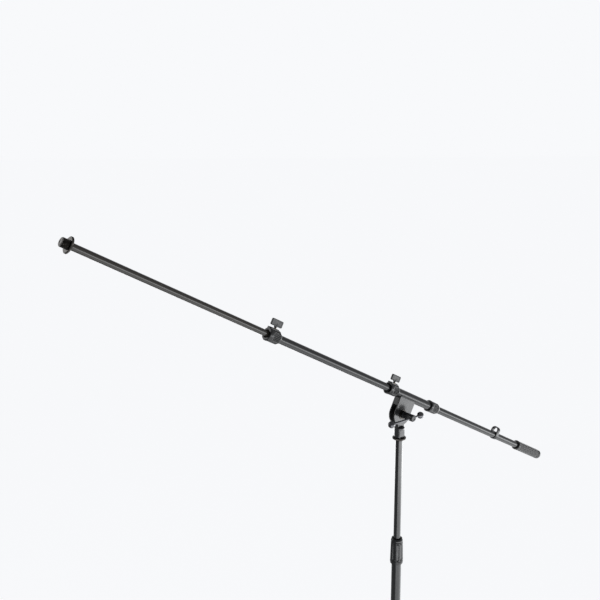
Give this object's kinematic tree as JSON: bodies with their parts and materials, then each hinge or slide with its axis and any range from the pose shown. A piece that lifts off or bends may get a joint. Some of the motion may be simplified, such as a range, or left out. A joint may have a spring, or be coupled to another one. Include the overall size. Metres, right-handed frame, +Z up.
{
  "type": "boom microphone stand",
  "caption": "Floor stand for a microphone: folding tripod, telescoping upright with twist clutch, and a tilting, sliding boom that telescopes.",
  "frame": {"origin": "on the floor, on the axis of the upright tubes", "axes": "+Z up; the boom lies in the XZ plane with its threaded tip towards -X; -Y is the side of the tilt handle"},
  "size_m": [1.2477, 0.558, 1.5364],
  "materials": {
    "powder_coat": "satin black powder coat",
    "boom_coat": "semi-gloss black powder coat",
    "tip_coat": "semi-gloss black coat, slightly warm",
    "sleeve_coat": "satin black powder coat on steel",
    "clamp_plastic": "moulded black nylon",
    "knob_plastic": "moulded dark grey nylon",
    "inner_plastic": "natural acetal",
    "black_oxide": "black oxide steel",
    "zinc": "zinc-plated steel",
    "brass_insert": "turned brass",
    "black_chrome": "polished black chrome",
    "cast_black": "black enamelled zinc casting",
    "rubber": "moulded black rubber",
    "fibre": "pressed fibre washer"
  },
  "bodies": {
    "stand": {"lower_tube": "powder_coat", "clutch_body": "clamp_plastic", "clutch_collet": "inner_plastic", "base_hub": "cast_black", "hub_plug": "rubber", "leg_pins": "zinc"},
    "brace_collar": {"brace_collar": "clamp_plastic", "collar_pins": "zinc"},
    "collar_knob": {"collar_knob": "clamp_plastic", "collar_screw": "zinc"},
    "clutch_grip": {"clutch_grip": "clamp_plastic"},
    "shaft_guide": {"shaft_guide": "inner_plastic"},
    "shaft": {"upper_shaft": "boom_coat", "tilt_knuckle": "cast_black", "lock_ring": "black_oxide", "friction_washers": "fibre"},
    "head": {"boom_sleeve": "sleeve_coat", "sleeve_clamp": "clamp_plastic", "sleeve_clamp_nut": "brass_insert", "sleeve_bushes": "inner_plastic", "rear_collar": "clamp_plastic", "bracket_plate_near": "sleeve_coat", "bracket_plate_far": "sleeve_coat", "bracket_web": "sleeve_coat", "pivot_washers": "black_oxide", "pivot_nut": "black_oxide"},
    "tilt_handle": {"handle_hub": "clamp_plastic", "pivot_screw": "zinc"},
    "handle_bar": {"handle_bar": "black_chrome", "handle_balls": "black_chrome"},
    "sleeve_knob": {"sleeve_knob": "knob_plastic", "sleeve_knob_screw": "black_oxide"},
    "boom": {"boom_tube": "boom_coat", "boom_clamp": "clamp_plastic", "boom_clamp_nut": "brass_insert", "boom_clamp_bush": "inner_plastic", "boom_grip": "rubber", "balance_weight": "zinc"},
    "boom_knob": {"boom_knob": "knob_plastic", "boom_knob_screw": "black_oxide"},
    "tip": {"tip_tube": "tip_coat", "tip_guide": "inner_plastic", "mic_thread": "black_oxide", "mic_flange": "black_oxide"},
    "cable_clip": {"cable_clip": "clamp_plastic"},
    "leg_a": {"leg_tube_a": "powder_coat", "leg_lug_a": "clamp_plastic", "foot_a": "rubber"},
    "strut_a": {"strut_a": "powder_coat", "strut_rivets_a": "zinc"},
    "leg_b": {"leg_tube_b": "powder_coat", "leg_lug_b": "clamp_plastic", "foot_b": "rubber"},
    "strut_b": {"strut_b": "powder_coat", "strut_rivets_b": "zinc"},
    "leg_c": {"leg_tube_c": "powder_coat", "leg_lug_c": "clamp_plastic", "foot_c": "rubber"},
    "strut_c": {"strut_c": "powder_coat", "strut_rivets_c": "zinc"}
  },
  "joints": [
    {"name": "height_slide", "type": "slide", "parent": "stand", "child": "shaft_guide", "axis": [0, 0, 1], "range_m": [-0.23, 0.25]},
    {"name": "head_pan", "type": "hinge", "parent": "shaft_guide", "child": "shaft", "pos_m": [0, 0, 1], "axis": [0, 0, 1], "continuous": true},
    {"name": "boom_tilt", "type": "hinge", "parent": "shaft", "child": "head", "pos_m": [0, 0, 1.089], "axis": [0, 1, 0], "range_deg": [-88, 38]},
    {"name": "boom_slide", "type": "slide", "parent": "head", "child": "boom", "axis": [0.8767, 0, -0.481], "range_m": [-0.2, 0.3]},
    {"name": "tip_slide", "type": "slide", "parent": "boom", "child": "tip", "axis": [0.8767, 0, -0.481], "range_m": [-0.06, 0.4]},
    {"name": "cable_clip_slide", "type": "slide", "parent": "boom", "child": "cable_clip", "axis": [0.8767, 0, -0.481], "range_m": [-0.02, 0.08]},
    {"name": "tilt_handle_turn", "type": "hinge", "parent": "head", "child": "tilt_handle", "pos_m": [0, -0.036, 1.089], "axis": [0, 1, 0], "range_deg": [-180, 180]},
    {"name": "handle_bar_slide", "type": "slide", "parent": "tilt_handle", "child": "handle_bar", "axis": [1, 0, 0], "range_m": [-0.0105, 0.0455]},
    {"name": "sleeve_knob_turn", "type": "hinge", "parent": "head", "child": "sleeve_knob", "pos_m": [-0.01813, 0, 1.1651], "axis": [0.481, 0, 0.8767], "range_deg": [-180, 180]},
    {"name": "boom_knob_turn", "type": "hinge", "parent": "boom", "child": "boom_knob", "pos_m": [-0.32981, 0, 1.33609], "axis": [0.481, 0, 0.8767], "range_deg": [-180, 180]},
    {"name": "clutch_twist", "type": "hinge", "parent": "stand", "child": "clutch_grip", "pos_m": [0, 0, 0.765], "axis": [0, 0, 1], "range_deg": [0, 120]},
    {"name": "collar_knob_turn", "type": "hinge", "parent": "brace_collar", "child": "collar_knob", "pos_m": [0.03, 0, 0.214], "axis": [1, 0, 0], "range_deg": [-180, 180]},
    {"name": "brace_collar_slide", "type": "slide", "parent": "stand", "child": "brace_collar", "axis": [0, 0, 1], "range_m": [-0.001, 0.2218]},
    {"name": "leg_a_fold", "type": "hinge", "parent": "stand", "child": "leg_a", "pos_m": [-0.027, 0, 0.095], "axis": [0, 1, 0], "range_deg": [0, 96]},
    {"name": "strut_a_swing", "type": "hinge", "parent": "brace_collar", "child": "strut_a", "pos_m": [-0.024, 0, 0.205], "axis": [0, -1, 0], "range_deg": [-0.5, 33.93]},
    {"name": "leg_b_fold", "type": "hinge", "parent": "stand", "child": "leg_b", "pos_m": [0.0135, 0.02338, 0.095], "axis": [0.866, -0.5, 0], "range_deg": [-0.5, 96.5]},
    {"name": "strut_b_swing", "type": "hinge", "parent": "brace_collar", "child": "strut_b", "pos_m": [0.012, 0.02079, 0.205], "axis": [-0.866, 0.5, 0], "range_deg": [-0.5, 33.93]},
    {"name": "leg_c_fold", "type": "hinge", "parent": "stand", "child": "leg_c", "pos_m": [0.0135, -0.02338, 0.095], "axis": [-0.866, -0.5, 0], "range_deg": [-0.5, 96.5]},
    {"name": "strut_c_swing", "type": "hinge", "parent": "brace_collar", "child": "strut_c", "pos_m": [0.012, -0.02079, 0.205], "axis": [0.866, 0.5, 0], "range_deg": [-0.5, 33.93]}
  ],
  "couplings": [
    {"joint": "leg_b_fold", "follows": "leg_a_fold", "ratio": 1},
    {"joint": "leg_c_fold", "follows": "leg_a_fold", "ratio": 1},
    {"joint": "brace_collar_slide", "follows": "leg_a_fold", "m_per_rad": 0.13119},
    {"joint": "strut_a_swing", "follows": "leg_a_fold", "ratio": 0.34823},
    {"joint": "strut_b_swing", "follows": "leg_a_fold", "ratio": 0.34823},
    {"joint": "strut_c_swing", "follows": "leg_a_fold", "ratio": 0.34823}
  ]
}
